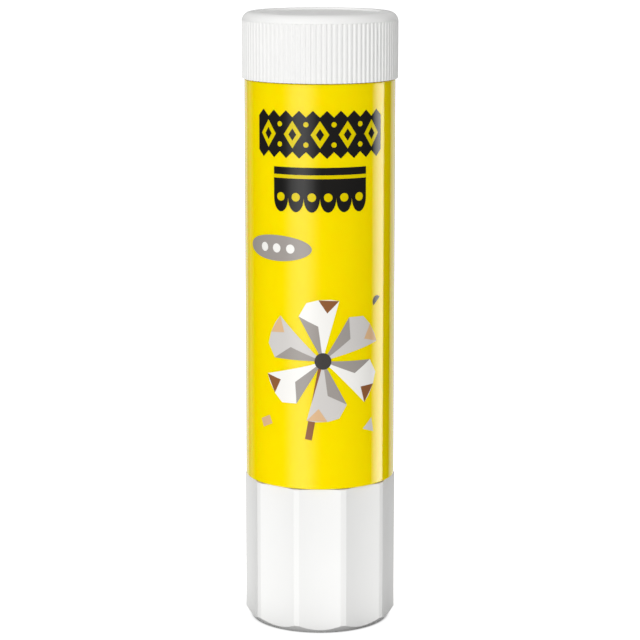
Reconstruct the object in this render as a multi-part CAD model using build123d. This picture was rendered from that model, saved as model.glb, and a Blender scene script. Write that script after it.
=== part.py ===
from build123d import *
from math import asin, cos, degrees, radians, sin, sqrt
import os

# Glue stick that feeds by turning its fluted foot knob, with a ribbed screw cap on.
# Origin: middle of the base. +Z is up, the front of the printed sleeve faces -Y. Lengths are in millimetres.

# Whole stick, from the base up
knob_height = 20.5
sleeve_length = 55.3
cap_height = 9.0
seam_gap = 0.1
sleeve_diameter = 20.65
cap_overhang = 0.365
knob_overhang = 0.145

# Clearances
running_gap = 0.15
seat_gap = 0.05
bearing_gap = 0.08
overrun = 1.0

# Outer sleeve
sleeve_wall = 0.9
sleeve_lip_height = 0.9
edge_break = 0.12

# Inner tube: skirt, floor, chamber and threaded neck
air_gap = 1.025
tube_wall = 1.1
floor_thickness = 1.5
top_ring_height = 1.5
skirt_length = 9.5
skirt_wall = 1.0
bead_height = 0.35
bead_width = 0.8
bead_rise = 0.7
key_rib_count = 4
key_rib_width = 1.4
key_rib_height = 0.45
key_rib_stop = 0.6
neck_thread_rise = 1.2
neck_thread_stop = 0.9
rim_break = 0.3

# Cap thread, one start, right hand
cap_lead = 3.0
cap_thread_depth = 0.7
cap_thread_land = 0.5
cap_thread_flank = 0.35
cap_thread_gap = 0.2
cap_thread_rise = 1.0
cap_thread_length = 3.6

# Cap
cap_top_thickness = 1.2
cap_shoulder_radius = 1.35
cap_rib_count = 96
cap_rib_depth = 0.13
cap_rib_land = 0.22
cap_rib_stop = 1.15
cap_recess_radius = 8.3
cap_recess_depth = 0.25
cap_mouth_break = 0.25

# Sealing liner of the cap
seal_gap = 0.1
seal_thickness = 0.7
seal_edge_gap = 0.4
plug_depth = 1.2
plug_wall = 0.6

# Feed thread, one start, left hand
feed_lead = 4.0
feed_thread_depth = 0.7
feed_thread_land = 0.7
feed_thread_flank = 0.4
feed_thread_play = 0.15

# Spindle
spindle_diameter = 4.8
journal_extra = 0.1
journal_rise = 0.25
flange_width = 1.7
flange_thickness = 1.2
root_across_flats = 4.6
root_length = 9.0
root_end_gap = 0.2
spindle_tip_height = 0.8
spindle_tip_cover = 1.8

# Turning knob
flute_count = 10
flute_depth = 0.25
ridge_land = 0.79
knob_wall = 1.05
knob_chamfer = 1.1
foot_width = 1.2
foot_depth = 0.6
knob_floor = 1.4
boss_wall = 1.9
web_count = 5
web_thickness = 1.0
web_gap = 1.0
knob_mouth_break = 0.3

# Carrier: piston with a nut in its hub
carrier_start_gap = 0.3
carrier_plate = 1.2
carrier_cup_height = 9.0
carrier_cup_wall = 1.0
hub_wall = 1.35
hub_height = 8.5
fin_count = 4
fin_thickness = 0.8
fin_height = 5.0

# Glue
glue_top_gap = 0.7
glue_dome = 0.5
glue_core_gap = 0.3

# Levels that follow, from the base up
knob_floor_top = foot_depth + knob_floor
sleeve_base = knob_height + seam_gap
sleeve_top = sleeve_base + sleeve_length
lip_top = sleeve_base + sleeve_lip_height
cap_base = sleeve_top + seam_gap
cap_top = cap_base + cap_height
cap_ceiling = cap_top - cap_top_thickness
tube_floor = lip_top + seat_gap
chamber_floor = tube_floor + floor_thickness
skirt_base = tube_floor - skirt_length
bead_middle = skirt_base + bead_rise + bead_width / 2
rim = cap_ceiling - seal_gap - seal_thickness - seal_gap
plug_base = rim - plug_depth
neck_thread_base = cap_base + neck_thread_rise
neck_thread_top = rim - neck_thread_stop
cap_thread_base = cap_base + cap_thread_rise
cap_thread_top = cap_thread_base + cap_thread_length
key_rib_top = plug_base - key_rib_stop
flange_top = tube_floor - bearing_gap
flange_base = flange_top - flange_thickness
root_base = flange_base - root_length
glue_edge_top = plug_base - glue_top_gap
spindle_top = glue_edge_top - spindle_tip_cover
spindle_thread_base = chamber_floor + journal_rise
carrier_base = chamber_floor + carrier_start_gap
carrier_plate_top = carrier_base + carrier_plate
cup_top = carrier_base + carrier_cup_height
hub_top = carrier_base + hub_height
fin_top = carrier_base + fin_height

# Radii that follow, from the outside in
sleeve_radius = sleeve_diameter / 2
sleeve_bore = sleeve_radius - sleeve_wall
ring_radius = sleeve_bore - seat_gap
tube_radius = sleeve_bore - air_gap
chamber_radius = tube_radius - tube_wall
neck_crest = tube_radius + cap_thread_depth
cap_radius = sleeve_radius + cap_overhang
cap_bore = neck_crest + cap_thread_gap
cap_thread_crest = cap_bore - cap_thread_depth
knob_radius = sleeve_radius + knob_overhang
ridge_half_angle = degrees(ridge_land / knob_radius) / 2
flute_half_angle = 180 / flute_count - ridge_half_angle
flute_radius = knob_radius * cos(radians(flute_half_angle)) - flute_depth
knob_bore = flute_radius - knob_wall
skirt_radius = knob_bore - running_gap
skirt_bore = skirt_radius - skirt_wall
bead_radius = skirt_radius + bead_height
foot_radius = knob_radius - knob_chamfer
seal_radius = cap_bore - seal_edge_gap
plug_radius = chamber_radius - running_gap
spindle_radius = spindle_diameter / 2
spindle_root = spindle_radius - feed_thread_depth
journal_radius = spindle_radius + journal_extra
journal_bore = journal_radius + bearing_gap
flange_radius = journal_radius + flange_width
root_corner_radius = root_across_flats / sqrt(3)
boss_radius = root_corner_radius + boss_wall
carrier_radius = chamber_radius - running_gap
cup_bore = carrier_radius - carrier_cup_wall
nut_radius = spindle_radius + running_gap
hub_radius = nut_radius + hub_wall
key_rib_tip = chamber_radius - key_rib_height


def disc(radius, low, high):
    """Upright cylinder about the axis."""
    return Pos(0, 0, low) * Cylinder(radius, high - low, align=(Align.CENTER, Align.CENTER, Align.MIN))


def ring(outer, inner, low, high):
    """Upright tube about the axis."""
    return disc(outer, low, high) - disc(inner, low - overrun, high + overrun)


def turned(*outline):
    """Solid turned about the axis from points of radius and height."""
    points = [(radius, 0, height) for radius, height in outline]
    return revolve(make_face(Polyline(*points, close=True)), Axis.Z)


def spoke(inner, outer, width, low, high, angle):
    """Upright plate that runs outward from the axis at the given angle."""
    plate = Box(outer - inner, width, high - low, align=(Align.MIN, Align.CENTER, Align.MIN))
    return Rot(0, 0, angle) * Pos(inner, 0, low) * plate


def polar(radius, angle):
    """Point at this radius and angle in degrees."""
    return (radius * cos(radians(angle)), radius * sin(radians(angle)))


def arc_of(radius, start, end):
    """Arc about the axis between two angles."""
    return ThreePointArc(polar(radius, start), polar(radius, (start + end) / 2), polar(radius, end))


def sloping_arc(radius_a, angle_a, radius_b, angle_b):
    """Nearly radial flank from one radius to the other."""
    middle = polar((radius_a + radius_b) / 2, (angle_a + angle_b) / 2)
    return ThreePointArc(polar(radius_a, angle_a), middle, polar(radius_b, angle_b))


def thread_section(root, crest, land, flank, lead):
    """Cross section of a single-start thread: a circle with one lobe, or with one dent where crest is smaller."""
    land_end = 180 * land / lead
    flank_end = land_end + 360 * flank / lead
    edges = [
        arc_of(crest, -land_end, land_end),
        sloping_arc(crest, land_end, root, flank_end),
        arc_of(root, flank_end, 180),
        arc_of(root, 180, 360 - flank_end),
        sloping_arc(root, 360 - flank_end, crest, 360 - land_end),
    ]
    return make_face(Wire(edges))


def thread_bar(section, low, high, lead, left_hand=False, phase=0):
    """The section carried up while it turns once per lead. All bars of one lead are in step, whatever their height."""
    turn = (-360 if left_hand else 360) * low / lead
    start = Pos(0, 0, low) * Rot(0, 0, turn + phase) * section
    guide = Helix(pitch=lead, height=high - low, radius=overrun, center=(0, 0, low), lefthand=left_hand)
    return sweep(start, path=Line((0, 0, low), (0, 0, high)), binormal=guide)


def fluted_outline():
    """Knob outline: concave flutes between narrow ridges, with a flute at the front."""
    pitch = 360 / flute_count
    edges = []
    for number in range(flute_count):
        ridge = number * pitch
        flute_start = polar(knob_radius, ridge + ridge_half_angle)
        flute_end = polar(knob_radius, ridge + pitch - ridge_half_angle)
        edges.append(arc_of(knob_radius, ridge - ridge_half_angle, ridge + ridge_half_angle))
        edges.append(ThreePointArc(flute_start, polar(flute_radius, ridge + pitch / 2), flute_end))
    return make_face(Wire(edges))


def ribbed_outline():
    """Cap outline: fine upright ribs with a round groove between each two."""
    pitch = 360 / cap_rib_count
    half_land = degrees(cap_rib_land / cap_radius) / 2
    edges = []
    for number in range(cap_rib_count):
        rib = number * pitch
        groove_start = polar(cap_radius, rib + half_land)
        groove_end = polar(cap_radius, rib + pitch - half_land)
        edges.append(arc_of(cap_radius, rib - half_land, rib + half_land))
        edges.append(ThreePointArc(groove_start, polar(cap_radius - cap_rib_depth, rib + pitch / 2), groove_end))
    return make_face(Wire(edges))


def hexagon(across_flats, low, high):
    """Upright hexagonal bar."""
    return Pos(0, 0, low) * extrude(RegularPolygon(across_flats / sqrt(3), 6), high - low)


def make_knob():
    """Fluted foot knob: hollow, with a hexagonal socket in its boss and a groove for the tube's bead."""
    blank = turned(
        (0, 0),
        (foot_radius, 0),
        (knob_radius, knob_chamfer),
        (knob_radius, knob_height - edge_break),
        (knob_radius - edge_break, knob_height),
        (0, knob_height),
    )
    shell = blank & extrude(fluted_outline(), knob_height)
    shell -= disc(knob_bore, knob_floor_top, knob_height + overrun)
    shell -= disc(foot_radius - foot_width, -overrun, foot_depth)
    groove_edge = bead_radius + running_gap
    groove_half = bead_width / 2 + running_gap
    shell -= turned(
        (skirt_radius, bead_middle - groove_half),
        (knob_bore, bead_middle - groove_half),
        (groove_edge, bead_middle - groove_half + bead_height),
        (groove_edge, bead_middle + groove_half - bead_height),
        (knob_bore, bead_middle + groove_half),
        (skirt_radius, bead_middle + groove_half),
    )
    shell -= turned(
        (skirt_radius, knob_height - knob_mouth_break),
        (knob_bore, knob_height - knob_mouth_break),
        (knob_bore + knob_mouth_break, knob_height),
        (skirt_radius, knob_height),
    )
    shell += disc(boss_radius, knob_floor_top, flange_base)
    web_top = skirt_base - web_gap
    for number in range(web_count):
        angle = number * 360 / web_count
        shell += spoke(root_corner_radius, knob_bore + knob_wall / 2, web_thickness, foot_depth, web_top, angle)
    socket_width = root_across_flats + 2 * seat_gap
    return shell - hexagon(socket_width, root_base - root_end_gap, flange_base + overrun)


def make_outer_sleeve():
    """Printed sleeve, with an inward lip at its foot that the inner tube and the knob hold between them."""
    sleeve = turned(
        (sleeve_bore, sleeve_base),
        (sleeve_radius - edge_break, sleeve_base),
        (sleeve_radius, sleeve_base + edge_break),
        (sleeve_radius, sleeve_top - edge_break),
        (sleeve_radius - edge_break, sleeve_top),
        (sleeve_bore, sleeve_top),
    )
    return sleeve + ring(sleeve_bore + sleeve_wall / 2, skirt_radius + running_gap, sleeve_base, lip_top)


def make_inner_tube():
    """Glue tube: skirt with snap bead, floor with the spindle's bearing, chamber with key ribs, threaded neck."""
    section = thread_section(tube_radius, neck_crest, cap_thread_land, cap_thread_flank, cap_lead)
    tube = disc(tube_radius, chamber_floor, neck_thread_base)
    tube += thread_bar(section, neck_thread_base, neck_thread_top, cap_lead)
    tube += turned(
        (0, neck_thread_top),
        (tube_radius, neck_thread_top),
        (tube_radius, rim - rim_break),
        (tube_radius - rim_break, rim),
        (0, rim),
    )
    tube += ring(ring_radius, tube_radius - tube_wall / 2, sleeve_top - top_ring_height, sleeve_top)
    tube -= disc(chamber_radius, chamber_floor, rim + overrun)
    tube += disc(ring_radius, tube_floor, chamber_floor)
    tube += ring(skirt_radius, skirt_bore, skirt_base, tube_floor)
    tube += turned(
        (skirt_radius - skirt_wall / 2, bead_middle - bead_width / 2),
        (skirt_radius, bead_middle - bead_width / 2),
        (bead_radius, bead_middle),
        (skirt_radius, bead_middle + bead_width / 2),
        (skirt_radius - skirt_wall / 2, bead_middle + bead_width / 2),
    )
    for number in range(key_rib_count):
        angle = 45 + number * 360 / key_rib_count
        rib_root = chamber_radius + tube_wall / 2
        tube += spoke(key_rib_tip, rib_root, key_rib_width, tube_floor, key_rib_top, angle)
    return tube - disc(journal_bore, tube_floor - overrun, chamber_floor + overrun)


def make_cap_shell():
    """Screw cap: ribbed wall, round shoulder, shallow recess on top and a thread inside."""
    shell = disc(cap_radius, cap_base, cap_top)
    shell = fillet(shell.edges().sort_by(Axis.Z)[-1], cap_shoulder_radius)
    grooves = disc(cap_radius + overrun, cap_base - overrun, cap_top - cap_rib_stop)
    grooves -= Pos(0, 0, cap_base - 2 * overrun) * extrude(ribbed_outline(), cap_height + 2 * overrun)
    shell -= grooves
    shell -= turned(
        (0, cap_top - cap_recess_depth),
        (cap_recess_radius - cap_recess_depth, cap_top - cap_recess_depth),
        (cap_recess_radius, cap_top),
        (cap_recess_radius, cap_top + overrun),
        (0, cap_top + overrun),
    )
    section = thread_section(cap_bore, cap_thread_crest, cap_thread_land, cap_thread_flank, cap_lead)
    cavity = turned(
        (0, cap_base - overrun),
        (cap_bore + cap_mouth_break, cap_base - overrun),
        (cap_bore + cap_mouth_break, cap_base),
        (cap_bore, cap_base + cap_mouth_break),
        (cap_bore, cap_thread_base),
        (0, cap_thread_base),
    )
    cavity += thread_bar(section, cap_thread_base, cap_thread_top, cap_lead, phase=180)
    cavity += disc(cap_bore, cap_thread_top, cap_ceiling)
    return shell - cavity


def make_cap_seal():
    """Liner that lies loose under the cap's ceiling, with a plug ring that enters the mouth of the tube."""
    low = rim + seal_gap
    seal = disc(seal_radius, low, low + seal_thickness)
    return seal + ring(plug_radius, plug_radius - plug_wall, plug_base, low + seal_thickness / 2)


def make_spindle():
    """Feed spindle: hexagonal root, thrust flange, journal and left-hand thread."""
    section = thread_section(spindle_root, spindle_radius, feed_thread_land, feed_thread_flank, feed_lead)
    spindle = hexagon(root_across_flats, root_base, flange_base)
    spindle += disc(flange_radius, flange_base, flange_top)
    spindle += disc(journal_radius, flange_top, spindle_thread_base)
    thread_top = spindle_top - spindle_tip_height
    spindle += thread_bar(section, spindle_thread_base, thread_top, feed_lead, left_hand=True)
    return spindle + turned(
        (0, thread_top),
        (spindle_root, thread_top),
        (spindle_root / 2, spindle_top),
        (0, spindle_top),
    )


def nut_thread(low, high):
    """The space that the spindle's thread needs inside the hub."""
    root = spindle_root + running_gap
    land = feed_thread_land + 2 * feed_thread_play
    section = thread_section(root, nut_radius, land, feed_thread_flank, feed_lead)
    return thread_bar(section, low, high, feed_lead, left_hand=True)


def key_grooves(low, high):
    """Slots for the tube's key ribs."""
    slots = []
    for number in range(key_rib_count):
        angle = 45 + number * 360 / key_rib_count
        width = key_rib_width + 2 * running_gap
        slots.append(spoke(key_rib_tip - running_gap, chamber_radius + overrun, width, low, high, angle))
    return slots


def make_carrier():
    """Piston that holds the glue's foot in a cup and rises on the spindle, kept from turning by the key ribs."""
    carrier = disc(carrier_radius, carrier_base, carrier_plate_top)
    carrier += ring(carrier_radius, cup_bore, carrier_base, cup_top)
    carrier += disc(hub_radius, carrier_base, hub_top)
    for number in range(fin_count):
        angle = number * 360 / fin_count
        reach = cup_bore + carrier_cup_wall / 2
        carrier += spoke(nut_radius + hub_wall / 2, reach, fin_thickness, carrier_base, fin_top, angle)
    carrier -= key_grooves(carrier_base - overrun, cup_top + overrun)
    return carrier - nut_thread(carrier_base - overrun, hub_top + overrun)


def make_glue_stick():
    """Glue column, cast round the spindle and into the carrier's cup, with a slightly domed top."""
    dome_radius = (carrier_radius**2 + glue_dome**2) / (2 * glue_dome)
    half_turn = asin(carrier_radius / dome_radius) / 2
    dome_side = (dome_radius * sin(half_turn), 0, glue_edge_top + glue_dome - dome_radius * (1 - cos(half_turn)))
    cup_fill = cup_bore - seat_gap
    shoulder = cup_top + seat_gap
    foot = carrier_plate_top + seat_gap
    sides = Polyline(
        (0, 0, glue_edge_top + glue_dome),
        (0, 0, foot),
        (cup_fill, 0, foot),
        (cup_fill, 0, shoulder),
        (carrier_radius, 0, shoulder),
        (carrier_radius, 0, glue_edge_top),
    )
    dome = ThreePointArc((carrier_radius, 0, glue_edge_top), dome_side, (0, 0, glue_edge_top + glue_dome))
    glue = revolve(make_face(Wire(sides.edges() + dome.edges())), Axis.Z)
    glue -= disc(hub_radius + seat_gap, foot - overrun, hub_top + seat_gap)
    for number in range(fin_count):
        angle = number * 360 / fin_count
        width = fin_thickness + 2 * seat_gap
        glue -= spoke(nut_radius, cup_bore, width, foot - overrun, fin_top + seat_gap, angle)
    glue -= key_grooves(foot - overrun, glue_edge_top + glue_dome + overrun)
    return glue - disc(spindle_radius + glue_core_gap, foot - overrun, spindle_top + glue_core_gap)


parts = {
    "knob": make_knob(),
    "outer_sleeve": make_outer_sleeve(),
    "inner_tube": make_inner_tube(),
    "cap_shell": make_cap_shell(),
    "cap_seal": make_cap_seal(),
    "spindle": make_spindle(),
    "carrier": make_carrier(),
    "glue_stick": make_glue_stick(),
}

os.makedirs("parts", exist_ok=True)
for name, solid in parts.items():
    export_step(solid, "parts/" + name + ".step")
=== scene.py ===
import bpy
import bmesh
from math import cos, hypot, pi, radians, sin, tan
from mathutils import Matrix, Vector


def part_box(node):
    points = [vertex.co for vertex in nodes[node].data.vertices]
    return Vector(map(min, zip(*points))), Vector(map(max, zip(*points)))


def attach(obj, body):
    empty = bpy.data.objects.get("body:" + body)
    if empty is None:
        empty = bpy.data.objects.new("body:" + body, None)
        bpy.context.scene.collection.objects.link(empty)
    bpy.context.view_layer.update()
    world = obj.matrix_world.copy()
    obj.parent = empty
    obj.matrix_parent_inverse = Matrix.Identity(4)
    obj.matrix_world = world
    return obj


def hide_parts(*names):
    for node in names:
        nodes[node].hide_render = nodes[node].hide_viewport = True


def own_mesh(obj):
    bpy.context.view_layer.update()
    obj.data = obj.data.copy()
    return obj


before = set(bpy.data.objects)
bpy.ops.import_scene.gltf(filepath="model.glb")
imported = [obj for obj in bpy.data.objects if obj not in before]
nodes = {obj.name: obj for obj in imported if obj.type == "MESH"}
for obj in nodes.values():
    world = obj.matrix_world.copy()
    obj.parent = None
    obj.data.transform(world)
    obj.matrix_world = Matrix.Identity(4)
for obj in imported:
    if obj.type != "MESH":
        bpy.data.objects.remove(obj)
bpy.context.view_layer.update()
scene = bpy.context.scene

MM = 0.001

# Stretch of a noise over which a colour or a roughness goes from one end to the other
NOISE_FROM = 0.3
NOISE_TO = 0.7

# Camera: place, tilt and lens, fitted to the photograph
CAMERA_DISTANCE = 0.32928
CAMERA_HEIGHT = 0.10403
CAMERA_DOWN_DEG = 10.624
CAMERA_LENS = 135.45
CAMERA_SENSOR = 36.0
CAMERA_NEAR = 0.01
CAMERA_FAR = 50

# White plastics: colour, range of roughness, share of light let in, strength of the grain, gloss
PLASTICS = {
    "cap_white": {"colour": (0.79, 0.79, 0.78), "rough": (0.34, 0.38), "gloss": 0.12},
    "knob_white": {"colour": (0.77, 0.77, 0.76), "rough": (0.38, 0.42), "gloss": 0.2},
    "tube_white": {"colour": (0.84, 0.84, 0.82), "rough": (0.4, 0.5), "soft": 0.3},
    "feed_white": {"colour": (0.82, 0.82, 0.8), "rough": (0.42, 0.55), "soft": 0.2},
    "seal_white": {"colour": (0.86, 0.86, 0.83), "rough": (0.6, 0.75), "soft": 0.3, "bump": 0.5},
}
PLASTIC_OF_NODE = {
    "cap_shell": "cap_white",
    "cap_seal": "seal_white",
    "knob": "knob_white",
    "inner_tube": "tube_white",
    "spindle": "feed_white",
    "carrier": "feed_white",
}
PLASTIC_SHADE = 0.985
PLASTIC_CLOUD_MM = 6.0
PLASTIC_GRAIN_MM = 0.35
PLASTIC_GRAIN_DEPTH_MM = 0.01
PLASTIC_SCATTER = (0.0012, 0.0011, 0.001)

# Yellow of the sleeve and inks of its print, each as two shades that cloud into each other
YELLOW_SHADES = (0.97, 0.69, 0.0), (0.955, 0.67, 0.0)
YELLOW_SOFT = 0.35
INKS = {
    "black": ((0.01, 0.01, 0.01), (0.014, 0.013, 0.012)),
    "white": ((0.84, 0.83, 0.8), (0.8, 0.79, 0.76)),
    "light_grey": ((0.6, 0.58, 0.56), (0.56, 0.54, 0.52)),
    "mid_grey": ((0.33, 0.3, 0.28), (0.3, 0.28, 0.26)),
    "dark_grey": ((0.06, 0.055, 0.052), (0.05, 0.046, 0.043)),
    "tan": ((0.68, 0.45, 0.26), (0.62, 0.4, 0.22)),
    "brown": ((0.27, 0.11, 0.04), (0.23, 0.09, 0.035)),
}
COAT_CLOUD_MM = 9.0
COAT_GRAIN_MM = 0.6
COAT_RIPPLE_MM = 3.5
COAT_RIPPLE_DEPTH_MM = 0.006
COAT_ROUGH = (0.05, 0.08)
UNDER_COAT_ROUGH = (0.42, 0.5)
COAT_IOR = 1.5
YELLOW_SCATTER = (0.003, 0.0009, 0.0002)

# Wax of the glue
WAX_SHADES = (0.83, 0.83, 0.79), (0.9, 0.9, 0.87)
WAX_CLOUD_MM = 3.0
WAX_GRAIN_MM = 0.4
WAX_GRAIN_DEPTH_MM = 0.03
WAX_ROUGH = (0.35, 0.6)
WAX_SOFT = 0.4
WAX_SCATTER = (0.003, 0.003, 0.0028)

# The sleeve that the print lies on, and the print's films: each layer stands a little higher than the last
sleeve_low, sleeve_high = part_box("outer_sleeve")
SLEEVE_RADIUS = (sleeve_high.x - sleeve_low.x) / 2 / MM
PRINT_STEP_DEG = 1.5
PRINT_SINK = 0.02
PRINT_RISE = 0.012
CUT_TOLERANCE = 1e-6

# Studio light. Azimuths are in degrees round the object: 0 is the camera's side, + is to the right.
# Lamps shine on matt surfaces only, and the reflection wall is what glossy ones see.
KEY_BOX = {"azimuths": (-32, 8), "heights": (0.1, 0.75), "distance": 1.2, "radiance": 7.4}
SIDE_BOX = {"azimuths": (-110, -75), "heights": (0.05, 0.6), "distance": 1.2, "radiance": 1.4}
BACK_BOX = {"azimuths": (155, 195), "heights": (0.05, 0.6), "distance": 1.2, "radiance": 6.5}
ROOM_LOW = 0.38
ROOM_TOP = 0.56
WALL_SIDES = 96
WALL_RADIUS = 1.5
WALL_HALF = 1.2
WALL_LIGHT = [
    (-180, 0.35), (-172, 0.35), (-158, 1.0), (-152, 0.8), (-146, 0.3), (-141, 0.2), (-135, 0.4),
    (-131, 0.25), (-122, 0.0), (-60, 0.0), (-53, 0.2), (-43, 1.0), (-33, 1.5), (-24, 1.55),
    (-14, 0.9), (-5, 0.22), (3, 0.0), (86.5, 0.0), (90, 1.4), (94, 2.7), (99, 3.8), (103, 4.7),
    (110, 4.7), (113.5, 4.2), (115, 0.0), (136, 0.0), (140, 0.8), (158, 1.0), (172, 0.35), (180, 0.35),
]
BACKDROP_RADIUS = 2.5
BACKDROP_LIGHT = [(-180, 1.0), (180, 1.0)]

# Paper on the floor: what the camera sees of it, with a painted contact shadow just round the foot,
# and what it sends back up at the object, as levels by the distance in metres from the foot's middle
FLOOR_HALF = 6.0
PAPER_REACH = 0.1
# Dark up to the foot's edge, then rising to full glow within half a millimetre: a painted contact shadow
# ring
PAPER_GLOW_AND_PAINTED_SHADOW = [(0, 0), (0.0093, 0), (0.0098, 0.95)]
PAPER_BOUNCE = [(0, 0), (0.0094, 0), (0.015, 0.7), (0.02, 0.86), (0.03, 0.86), (0.08, 0.42)]
PAPER_SHADES = (0.9, 0.9, 0.9), (0.92, 0.92, 0.92)
PAPER_GRAIN_MM = 8.0
PAPER_ROUGH = 0.9


# Camera

def make_camera():
    camera = bpy.data.objects.new("camera", bpy.data.cameras.new("camera"))
    camera.data.lens = CAMERA_LENS
    camera.data.sensor_width = CAMERA_SENSOR
    camera.data.clip_start = CAMERA_NEAR
    camera.data.clip_end = CAMERA_FAR
    camera.location = (0, -CAMERA_DISTANCE, CAMERA_HEIGHT)
    camera.rotation_euler = (radians(90 - CAMERA_DOWN_DEG), 0, 0)
    scene.collection.objects.link(camera)
    scene.camera = camera


# Materials

def new_material(name):
    """An empty node material with its shader, and a texture place in the object's own metres."""
    material = bpy.data.materials.new(name)
    material.use_nodes = True
    tree = material.node_tree
    shader = tree.nodes["Principled BSDF"]
    place = tree.nodes.new("ShaderNodeTexCoord")
    return material, tree, shader, place.outputs["Object"]


def noise(tree, place, size_mm, detail=3.0, stretch=(1, 1, 1)):
    """Noise whose blobs are about size_mm wide."""
    mapping = tree.nodes.new("ShaderNodeMapping")
    mapping.inputs["Scale"].default_value = stretch
    texture = tree.nodes.new("ShaderNodeTexNoise")
    texture.inputs["Scale"].default_value = 1 / (size_mm * MM)
    texture.inputs["Detail"].default_value = detail
    tree.links.new(place, mapping.inputs["Vector"])
    tree.links.new(mapping.outputs["Vector"], texture.inputs["Vector"])
    return texture.outputs["Fac"]


def mixed_colour(tree, share, colour_a, colour_b):
    """Colour that goes from one to the other along the noise."""
    ramp = tree.nodes.new("ShaderNodeValToRGB")
    ramp.color_ramp.elements[0].position = NOISE_FROM
    ramp.color_ramp.elements[1].position = NOISE_TO
    ramp.color_ramp.elements[0].color = (*colour_a, 1)
    ramp.color_ramp.elements[1].color = (*colour_b, 1)
    tree.links.new(share, ramp.inputs["Fac"])
    return ramp.outputs["Color"]


def ranged(tree, share, low, high):
    """Number that goes from low to high along the noise."""
    scale = tree.nodes.new("ShaderNodeMapRange")
    scale.inputs["From Min"].default_value = NOISE_FROM
    scale.inputs["From Max"].default_value = NOISE_TO
    scale.inputs["To Min"].default_value = low
    scale.inputs["To Max"].default_value = high
    tree.links.new(share, scale.inputs["Value"])
    return scale.outputs["Result"]


def level_ramp(tree, share, stops):
    """Grey levels along a share, given as (position, level)."""
    ramp = tree.nodes.new("ShaderNodeValToRGB")
    tree.links.new(share, ramp.inputs["Fac"])
    elements = ramp.color_ramp.elements
    elements.remove(elements[1])
    for number, (position, level) in enumerate(stops):
        stop = elements.new(position) if number else elements[0]
        stop.position = position
        stop.color = (level, level, level, 1)
    return ramp.outputs["Color"]


def bumped(tree, height, depth_mm, strength):
    bump = tree.nodes.new("ShaderNodeBump")
    bump.inputs["Distance"].default_value = depth_mm * MM
    bump.inputs["Strength"].default_value = strength
    tree.links.new(height, bump.inputs["Height"])
    return bump.outputs["Normal"]


def let_light_in(shader, share, radius):
    """Share of the light that enters the surface, and how far each colour of it spreads, in metres."""
    shader.inputs["Subsurface Weight"].default_value = share
    shader.inputs["Subsurface Radius"].default_value = radius
    shader.inputs["Subsurface Scale"].default_value = 1.0


def moulded_plastic(name, colour, rough, soft=0.0, bump=0.02, gloss=0.5):
    """White moulded plastic: faint clouding, fine grain and a little light through the wall."""
    material, tree, shader, place = new_material(name)
    clouds = noise(tree, place, PLASTIC_CLOUD_MM)
    darker = tuple(channel * PLASTIC_SHADE for channel in colour)
    tree.links.new(mixed_colour(tree, clouds, darker, colour), shader.inputs["Base Color"])
    grain = noise(tree, place, PLASTIC_GRAIN_MM, detail=5.0)
    tree.links.new(ranged(tree, grain, *rough), shader.inputs["Roughness"])
    tree.links.new(bumped(tree, grain, PLASTIC_GRAIN_DEPTH_MM, bump), shader.inputs["Normal"])
    shader.inputs["Specular IOR Level"].default_value = gloss
    let_light_in(shader, soft, PLASTIC_SCATTER)
    return material


def glossy_coat(name, colour, other, soft=0.0):
    """Coloured plastic or ink under one clear gloss, so that reflections run on across the print."""
    material, tree, shader, place = new_material(name)
    clouds = noise(tree, place, COAT_CLOUD_MM, stretch=(1, 1, 0.35))
    tree.links.new(mixed_colour(tree, clouds, other, colour), shader.inputs["Base Color"])
    grain = noise(tree, place, COAT_GRAIN_MM)
    tree.links.new(ranged(tree, grain, *UNDER_COAT_ROUGH), shader.inputs["Roughness"])
    shader.inputs["Specular IOR Level"].default_value = 0.0
    shader.inputs["Coat Weight"].default_value = 1.0
    shader.inputs["Coat IOR"].default_value = COAT_IOR
    ripple = noise(tree, place, COAT_RIPPLE_MM, detail=1.0, stretch=(1, 1, 0.25))
    normal = bumped(tree, ripple, COAT_RIPPLE_DEPTH_MM, strength=0.3)
    tree.links.new(normal, shader.inputs["Coat Normal"])
    tree.links.new(ranged(tree, grain, *COAT_ROUGH), shader.inputs["Coat Roughness"])
    let_light_in(shader, soft, YELLOW_SCATTER)
    return material


def waxy_glue(name):
    """Firm white wax: soft clouds, a rough skin and light that goes deep."""
    material, tree, shader, place = new_material(name)
    clouds = noise(tree, place, WAX_CLOUD_MM)
    tree.links.new(mixed_colour(tree, clouds, *WAX_SHADES), shader.inputs["Base Color"])
    grain = noise(tree, place, WAX_GRAIN_MM, detail=6.0)
    tree.links.new(ranged(tree, grain, *WAX_ROUGH), shader.inputs["Roughness"])
    tree.links.new(bumped(tree, grain, WAX_GRAIN_DEPTH_MM, strength=0.5), shader.inputs["Normal"])
    let_light_in(shader, WAX_SOFT, WAX_SCATTER)
    return material


def paint_node(node, material):
    nodes[node].data.materials.clear()
    nodes[node].data.materials.append(material)


# Print on the sleeve. Outlines are flat, in millimetres: x runs round the sleeve from its front,
# and z is the height.

def wrapped(x, z, radius):
    """Point on the sleeve for a flat point of the print."""
    angle = x / SLEEVE_RADIUS
    return Vector((radius * sin(angle) * MM, -radius * cos(angle) * MM, z * MM))


def cut_for_bending(flat):
    """Cut the flat faces into upright strips that are narrow enough to bend round the sleeve."""
    step = radians(PRINT_STEP_DEG) * SLEEVE_RADIUS
    reach = max(abs(vertex.co.x) for vertex in flat.verts)
    count = int(reach / step) + 1
    for number in range(-count, count + 1):
        everything = flat.verts[:] + flat.edges[:] + flat.faces[:]
        bmesh.ops.bisect_plane(
            flat, geom=everything, plane_co=(number * step, 0, 0), plane_no=(1, 0, 0), dist=CUT_TOLERANCE
        )
    bmesh.ops.triangulate(flat, faces=[face for face in flat.faces if len(face.verts) > 4])


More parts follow.
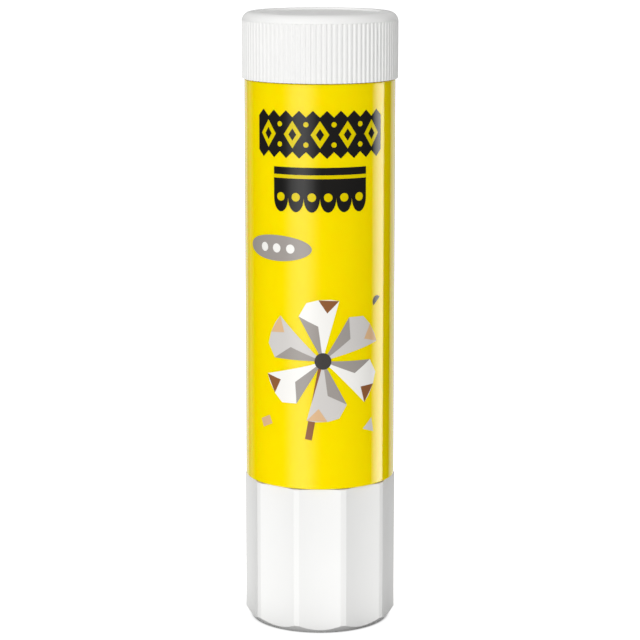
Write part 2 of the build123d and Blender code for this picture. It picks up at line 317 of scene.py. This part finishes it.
def bend_as_film(flat, layer):
    """Give the flat faces a thickness, bend them round the sleeve and mark the outer ones as smooth."""
    under = flat.verts[:]
    grown = bmesh.ops.extrude_face_region(flat, geom=flat.faces[:])
    outer = {item for item in grown["geom"] if isinstance(item, bmesh.types.BMVert)}
    inner_radius = SLEEVE_RADIUS - PRINT_SINK
    outer_radius = SLEEVE_RADIUS + PRINT_RISE * layer
    for vertex in under:
        vertex.co = wrapped(vertex.co.x, vertex.co.z, inner_radius)
    for vertex in outer:
        vertex.co = wrapped(vertex.co.x, vertex.co.z, outer_radius)
    bmesh.ops.recalc_face_normals(flat, faces=flat.faces[:])
    for face in flat.faces:
        face.smooth = all(vertex in outer for vertex in face.verts)
    for edge in flat.edges:
        edge.smooth = all(face.smooth for face in edge.link_faces)


def shade_as_sleeve(mesh):
    """Normals of the round sleeve on the smooth faces, and flat ones on the rest."""
    normals = []
    for polygon in mesh.polygons:
        for index in polygon.vertices:
            place = mesh.vertices[index].co
            round_normal = Vector((place.x, place.y, 0)).normalized()
            normals.append(round_normal if polygon.use_smooth else polygon.normal.copy())
    mesh.normals_split_custom_set(normals)


def print_piece(name, outlines, layer, material):
    """Thin closed film that carries the outlines round the sleeve."""
    flat = bmesh.new()
    for outline in outlines:
        flat.faces.new([flat.verts.new((x, 0, z)) for x, z in outline])
    cut_for_bending(flat)
    bend_as_film(flat, layer)
    mesh = bpy.data.meshes.new(name)
    flat.to_mesh(mesh)
    flat.free()
    shade_as_sleeve(mesh)
    mesh.materials.append(material)
    piece = bpy.data.objects.new(name, mesh)
    scene.collection.objects.link(piece)
    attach(piece, "tube")


def disc_outline(x, z, radius_x, radius_z=None, corners=28, start=0.0, share=1.0):
    """Round or oval outline, or a share of it as an arc closed by its chord."""
    radius_z = radius_z or radius_x
    last = corners if share < 1 else corners - 1
    angles = [start + 2 * pi * share * number / corners for number in range(last + 1)]
    return [(x + radius_x * cos(a), z + radius_z * sin(a)) for a in angles]


def lozenge(x, z, width, height):
    return [(x - width / 2, z), (x, z - height / 2), (x + width / 2, z), (x, z + height / 2)]


def turned_outline(outline, x, z, angle):
    """The outline turned about its own origin and moved to x, z."""
    c, s = cos(angle), sin(angle)
    return [(x + c * a - s * b, z + s * a + c * b) for a, b in outline]


def bar(x_a, z_a, x_b, z_b, width):
    """Straight stroke with square ends."""
    length = hypot(x_b - x_a, z_b - z_a)
    dx, dz = (x_b - x_a) / length * width / 2, (z_b - z_a) / length * width / 2
    return [(x_a + dz, z_a - dx), (x_b + dz, z_b - dx), (x_b - dz, z_b + dx), (x_a - dz, z_a + dx)]


def toothed_band(foot, top, half, teeth, tooth):
    """Band with a row of teeth along both edges."""
    pitch = 2 * half / teeth
    outline = [(-half, top), (-half, foot)]
    for number in range(teeth):
        left = -half + number * pitch
        outline += [(left + pitch / 2, foot - tooth), (left + pitch, foot)]
    outline.append((half, top))
    for number in range(teeth - 1, -1, -1):
        left = -half + number * pitch
        outline += [(left + pitch / 2, top + tooth), (left, top)]
    return outline[:-1]


def scalloped_ribbon(foot, top, half, scallops, drop_share, steps):
    """Ribbon with a straight top and a row of round scallops at its foot."""
    scallop = half / scallops
    outline = [(-half, top), (-half, foot)]
    for number in range(scallops):
        centre = -half + (2 * number + 1) * scallop
        for part in range(1, steps):
            a = pi + pi * part / steps
            outline.append((centre + scallop * cos(a), foot + drop_share * scallop * sin(a)))
        outline.append((centre + scallop, foot))
    outline.append((half, top))
    return outline


def make_ornament(ink, ground):
    """Two bold bands: a row of lozenges between saw teeth, and a scalloped ribbon with a row of dots."""
    band_foot, band_top, half_band, teeth, tooth = 66.9, 71.5, 9.4, 10, 0.9
    open_lozenge, filled_lozenge = (2.5, 3.7), (1.1, 1.65)
    dot_radius, dot_offset, dot_corners = 0.36, 1.35, 16
    ribbon_foot, ribbon_top, half_ribbon, scallops, scallop_steps = 60.7, 64.8, 6.6, 6, 12
    scallop_drop_share = 1.75
    hole_radius, hole_rise = 0.58, 0.1
    slit_drop, slit_width = 1.25, 0.5

    black = [
        toothed_band(band_foot, band_top, half_band, teeth, tooth),
        scalloped_ribbon(ribbon_foot, ribbon_top, half_ribbon, scallops, scallop_drop_share, scallop_steps),
    ]
    open_spots, centres = [], []
    pitch = 2 * half_band / teeth
    middle = (band_foot + band_top) / 2
    for number in range(teeth // 2):
        x = -half_band + (2 * number + 1) * pitch
        open_spots.append(lozenge(x, middle, *open_lozenge))
        centres.append(lozenge(x, middle, *filled_lozenge))
    for number in range(teeth // 2 - 1):
        x = -half_band + 2 * (number + 1) * pitch
        for side in (-1, 1):
            open_spots.append(disc_outline(x, middle + side * dot_offset, dot_radius, corners=dot_corners))
    scallop = half_ribbon / scallops
    for number in range(scallops):
        centre = -half_ribbon + (2 * number + 1) * scallop
        open_spots.append(disc_outline(centre, ribbon_foot + hole_rise, hole_radius))
    slit = ribbon_top - slit_drop
    open_spots.append(bar(-half_ribbon, slit, half_ribbon, slit, slit_width))
    print_piece("print_ornament", black, 1, ink)
    print_piece("print_ornament_open", open_spots, 2, ground)
    print_piece("print_ornament_centres", centres, 3, ink)


def make_badge(grey, white):
    """Plain oval with three dots."""
    x, z, half_width, half_height, corners = -6.2, 53.75, 5.1, 1.75, 56
    dot_radius, dot_pitch = 0.62, 2.1
    print_piece("print_badge", [disc_outline(x, z, half_width, half_height, corners=corners)], 1, grey)
    dots = [disc_outline(x + offset, z, dot_radius) for offset in (-dot_pitch, 0.0, dot_pitch)]
    print_piece("print_badge_dots", dots, 2, white)


def make_pinwheel(inks):
    """Cut-paper pinwheel on a stick."""
    x, z, radius, blades, first_blade = 0.4, 38.5, 8.7, 6, radians(12)
    stick_foot, stick_width, hub_radius = (-1.6, 27.6), 0.95, 1.15
    reach_share, rise_share, rim_degrees = 0.98, 0.9, (12, 24, 36)
    rim_shares = [(reach_share * cos(radians(a)), rise_share * sin(radians(a))) for a in rim_degrees]
    heel_share, edge_share, corner_share = (0.2, 0.02), (reach_share, 0.05), (0.55, 0.58)
    crease_share, flap_share = (0.5, 0.24), (0.74, 0.17)
    sail_shares = [(0, 0), heel_share, edge_share, *rim_shares, corner_share]
    fold_shares = [(0, 0), corner_share, crease_share]
    tip_shares = [edge_share, rim_shares[1], flap_share]

    def blade_piece(shares, number):
        outline = [(radius * a, radius * b) for a, b in shares]
        return turned_outline(outline, x, z, first_blade + 2 * pi * number / blades)

    sails = [blade_piece(sail_shares, number) for number in range(blades)]
    tips = [blade_piece(tip_shares, number) for number in range(blades)]
    folds = [blade_piece(fold_shares, number) for number in range(blades)]
    print_piece("print_stick", [bar(x, z, *stick_foot, stick_width)], 1, inks["brown"])
    print_piece("print_sails_light", sails[1::2], 2, inks["white"])
    print_piece("print_sails_grey", sails[0::2], 2, inks["light_grey"])
    print_piece("print_folds", folds, 3, inks["mid_grey"])
    print_piece("print_tips", tips[0::2], 3, inks["tan"])
    print_piece("print_tips_brown", tips[1::2], 3, inks["brown"])
    print_piece("print_hub", [disc_outline(x, z, hub_radius)], 4, inks["dark_grey"])


def make_scraps(inks):
    """A few scraps of paper round the pinwheel: an oblong, a triangle and half a disc."""
    oblong = [(-0.9, -0.6), (0.9, -0.6), (0.9, 0.6), (-0.9, 0.6)]
    triangle = [(-1.0, -0.8), (1.0, -0.8), (0.0, 1.0)]
    tan_scrap = turned_outline(oblong, -8.1, 29.6, radians(24))
    grey_scrap = turned_outline(triangle, 7.4, 29.2, radians(-18))
    dark_scrap = disc_outline(8.7, 46.2, 0.8, share=0.5, start=radians(40), corners=14)
    print_piece("print_scraps_tan", [tan_scrap], 1, inks["tan"])
    print_piece("print_scraps_grey", [grey_scrap], 1, inks["light_grey"])
    print_piece("print_scraps_dark", [dark_scrap], 1, inks["dark_grey"])


# Glue

def make_glue(material):
    """The column that the carrier feeds and that rides on it; the real one is used from the top and shortens
    as it is fed, this one keeps one length.
    """
    mesh = nodes["glue_stick"].data.copy()
    mesh.materials.clear()
    mesh.materials.append(material)
    glue = bpy.data.objects.new("glue_column", mesh)
    scene.collection.objects.link(glue)
    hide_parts("glue_stick")
    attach(glue, "carrier")
    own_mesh(glue)


# Studio

def radial_share(tree, place, turn_deg):
    """0 to 1 once round the z axis, 0.5 at the camera's side after a turn of 90 degrees."""
    mapping = tree.nodes.new("ShaderNodeMapping")
    mapping.inputs["Rotation"].default_value = (0, 0, radians(turn_deg))
    gradient = tree.nodes.new("ShaderNodeTexGradient")
    gradient.gradient_type = "RADIAL"
    tree.links.new(place, mapping.inputs["Vector"])
    tree.links.new(mapping.outputs["Vector"], gradient.inputs["Vector"])
    return gradient.outputs["Fac"]


def distance_share(tree, place, reach):
    """0 at the origin, 1 at the reach."""
    away = tree.nodes.new("ShaderNodeVectorMath")
    away.operation = "LENGTH"
    share = tree.nodes.new("ShaderNodeMath")
    share.operation = "DIVIDE"
    share.inputs[1].default_value = reach
    tree.links.new(place, away.inputs[0])
    tree.links.new(away.outputs["Value"], share.inputs[0])
    return share.outputs["Value"]


def glow_only(shader):
    """Dull black surface, of which only what it emits shows."""
    shader.inputs["Base Color"].default_value = (0, 0, 0, 1)
    shader.inputs["Specular IOR Level"].default_value = 0.0


def make_paper(name, light):
    """Flat sheet that glows by its distance from the foot's middle, given as (metres, level)."""
    mesh = bpy.data.meshes.new(name)
    corners = [(x * FLOOR_HALF, y * FLOOR_HALF, 0) for x, y in ((-1, -1), (1, -1), (1, 1), (-1, 1))]
    mesh.from_pydata(corners, [], [(0, 1, 2, 3)])
    sheet = bpy.data.objects.new(name, mesh)
    material, tree, shader, place = new_material(name)
    glow_only(shader)
    stops = [(distance / PAPER_REACH, level) for distance, level in light]
    levels = level_ramp(tree, distance_share(tree, place, PAPER_REACH), stops)
    tree.links.new(levels, shader.inputs["Emission Color"])
    shader.inputs["Emission Strength"].default_value = 1.0
    shader.inputs["Roughness"].default_value = PAPER_ROUGH
    mesh.materials.append(material)
    sheet.visible_glossy = False
    scene.collection.objects.link(sheet)
    return sheet, tree, shader, place


def make_floor():
    """Pale paper that the camera sees, with a painted contact shadow at the foot, and the light that it
    sends back up at the object.
    """
    # The paper's glow is dark under the foot and rises just past its edge: a painted contact shadow
    floor, tree, shader, place = make_paper("floor_paper", PAPER_GLOW_AND_PAINTED_SHADOW)
    grain = noise(tree, place, PAPER_GRAIN_MM)
    tree.links.new(mixed_colour(tree, grain, *PAPER_SHADES), shader.inputs["Base Color"])
    floor.visible_diffuse = False
    floor.visible_shadow = False
    bounce = make_paper("floor_bounce", PAPER_BOUNCE)[0]
    bounce.visible_camera = False


def make_round_wall(name, radius, half_height, light):
    """Glowing wall all round the object, lit by azimuth, given as (degrees, level)."""
    mesh = bpy.data.meshes.new(name)
    sides = WALL_SIDES
    ring = [2 * pi * number / sides for number in range(sides)]
    points = [(radius * cos(a), radius * sin(a), z) for z in (-half_height, half_height) for a in ring]
    faces = [(n, (n + 1) % sides, (n + 1) % sides + sides, n + sides) for n in range(sides)]
    mesh.from_pydata(points, [], faces)
    wall = bpy.data.objects.new(name, mesh)
    material, tree, shader, place = new_material(name)
    glow_only(shader)
    brightest = max(level for azimuth, level in light)
    stops = [(azimuth / 360 + 0.5, level / brightest) for azimuth, level in light]
    levels = level_ramp(tree, radial_share(tree, place, turn_deg=90), stops)
    tree.links.new(levels, shader.inputs["Emission Color"])
    shader.inputs["Emission Strength"].default_value = brightest
    mesh.materials.append(material)
    wall.visible_diffuse = False
    wall.visible_shadow = False
    wall.visible_transmission = False
    scene.collection.objects.link(wall)
    return wall


def make_walls():
    """Reflections that only glossy surfaces see, and pale paper behind that only the camera sees."""
    reflections = make_round_wall("reflection_wall", WALL_RADIUS, WALL_HALF, WALL_LIGHT)
    reflections.visible_camera = False
    backdrop = make_round_wall("backdrop", BACKDROP_RADIUS, BACKDROP_RADIUS, BACKDROP_LIGHT)
    backdrop.visible_glossy = False


def make_soft_box(name, azimuths, heights, distance, radiance):
    """Upright soft box that spans two azimuths and two heights, seen from the object."""
    middle = radians(sum(azimuths) / 2)
    width = 2 * distance * tan(radians(azimuths[1] - azimuths[0]) / 2)
    height = heights[1] - heights[0]
    lamp = bpy.data.lights.new(name, "AREA")
    lamp.shape = "RECTANGLE"
    lamp.size = width
    lamp.size_y = height
    lamp.energy = radiance * pi * width * height
    light = bpy.data.objects.new(name, lamp)
    light.location = (distance * sin(middle), -distance * cos(middle), sum(heights) / 2)
    aim = Vector((-sin(middle), cos(middle), 0))
    light.rotation_euler = aim.to_track_quat("-Z", "Y").to_euler()
    light.visible_camera = False
    light.visible_glossy = False
    scene.collection.objects.link(light)


def make_world():
    """White room light that only matt surfaces see, stronger from above."""
    world = bpy.data.worlds.new("room")
    world.use_nodes = True
    tree = world.node_tree
    background = tree.nodes["Background"]
    place = tree.nodes.new("ShaderNodeTexCoord")
    split = tree.nodes.new("ShaderNodeSeparateXYZ")
    tree.links.new(place.outputs["Generated"], split.inputs["Vector"])
    levels = level_ramp(tree, split.outputs["Z"], [(0, ROOM_LOW), (1, ROOM_TOP)])
    tree.links.new(levels, background.inputs["Color"])
    background.inputs["Strength"].default_value = 1.0
    scene.world = world
    world.cycles_visibility.glossy = False


def make_studio():
    make_world()
    make_floor()
    make_walls()
    make_soft_box("key_box", **KEY_BOX)
    make_soft_box("side_box", **SIDE_BOX)
    make_soft_box("back_box", **BACK_BOX)


make_camera()

plastics = {name: moulded_plastic(name, **finish) for name, finish in PLASTICS.items()}
yellow = glossy_coat("sleeve_yellow", *YELLOW_SHADES, soft=YELLOW_SOFT)
inks = {name: glossy_coat("ink_" + name, *shades) for name, shades in INKS.items()}
for node, plastic in PLASTIC_OF_NODE.items():
    paint_node(node, plastics[plastic])
paint_node("outer_sleeve", yellow)

make_ornament(inks["black"], yellow)
make_badge(inks["mid_grey"], inks["white"])
make_pinwheel(inks)
make_scraps(inks)
make_glue(waxy_glue("glue_wax"))
make_studio()
scene.view_settings.view_transform = "Standard"
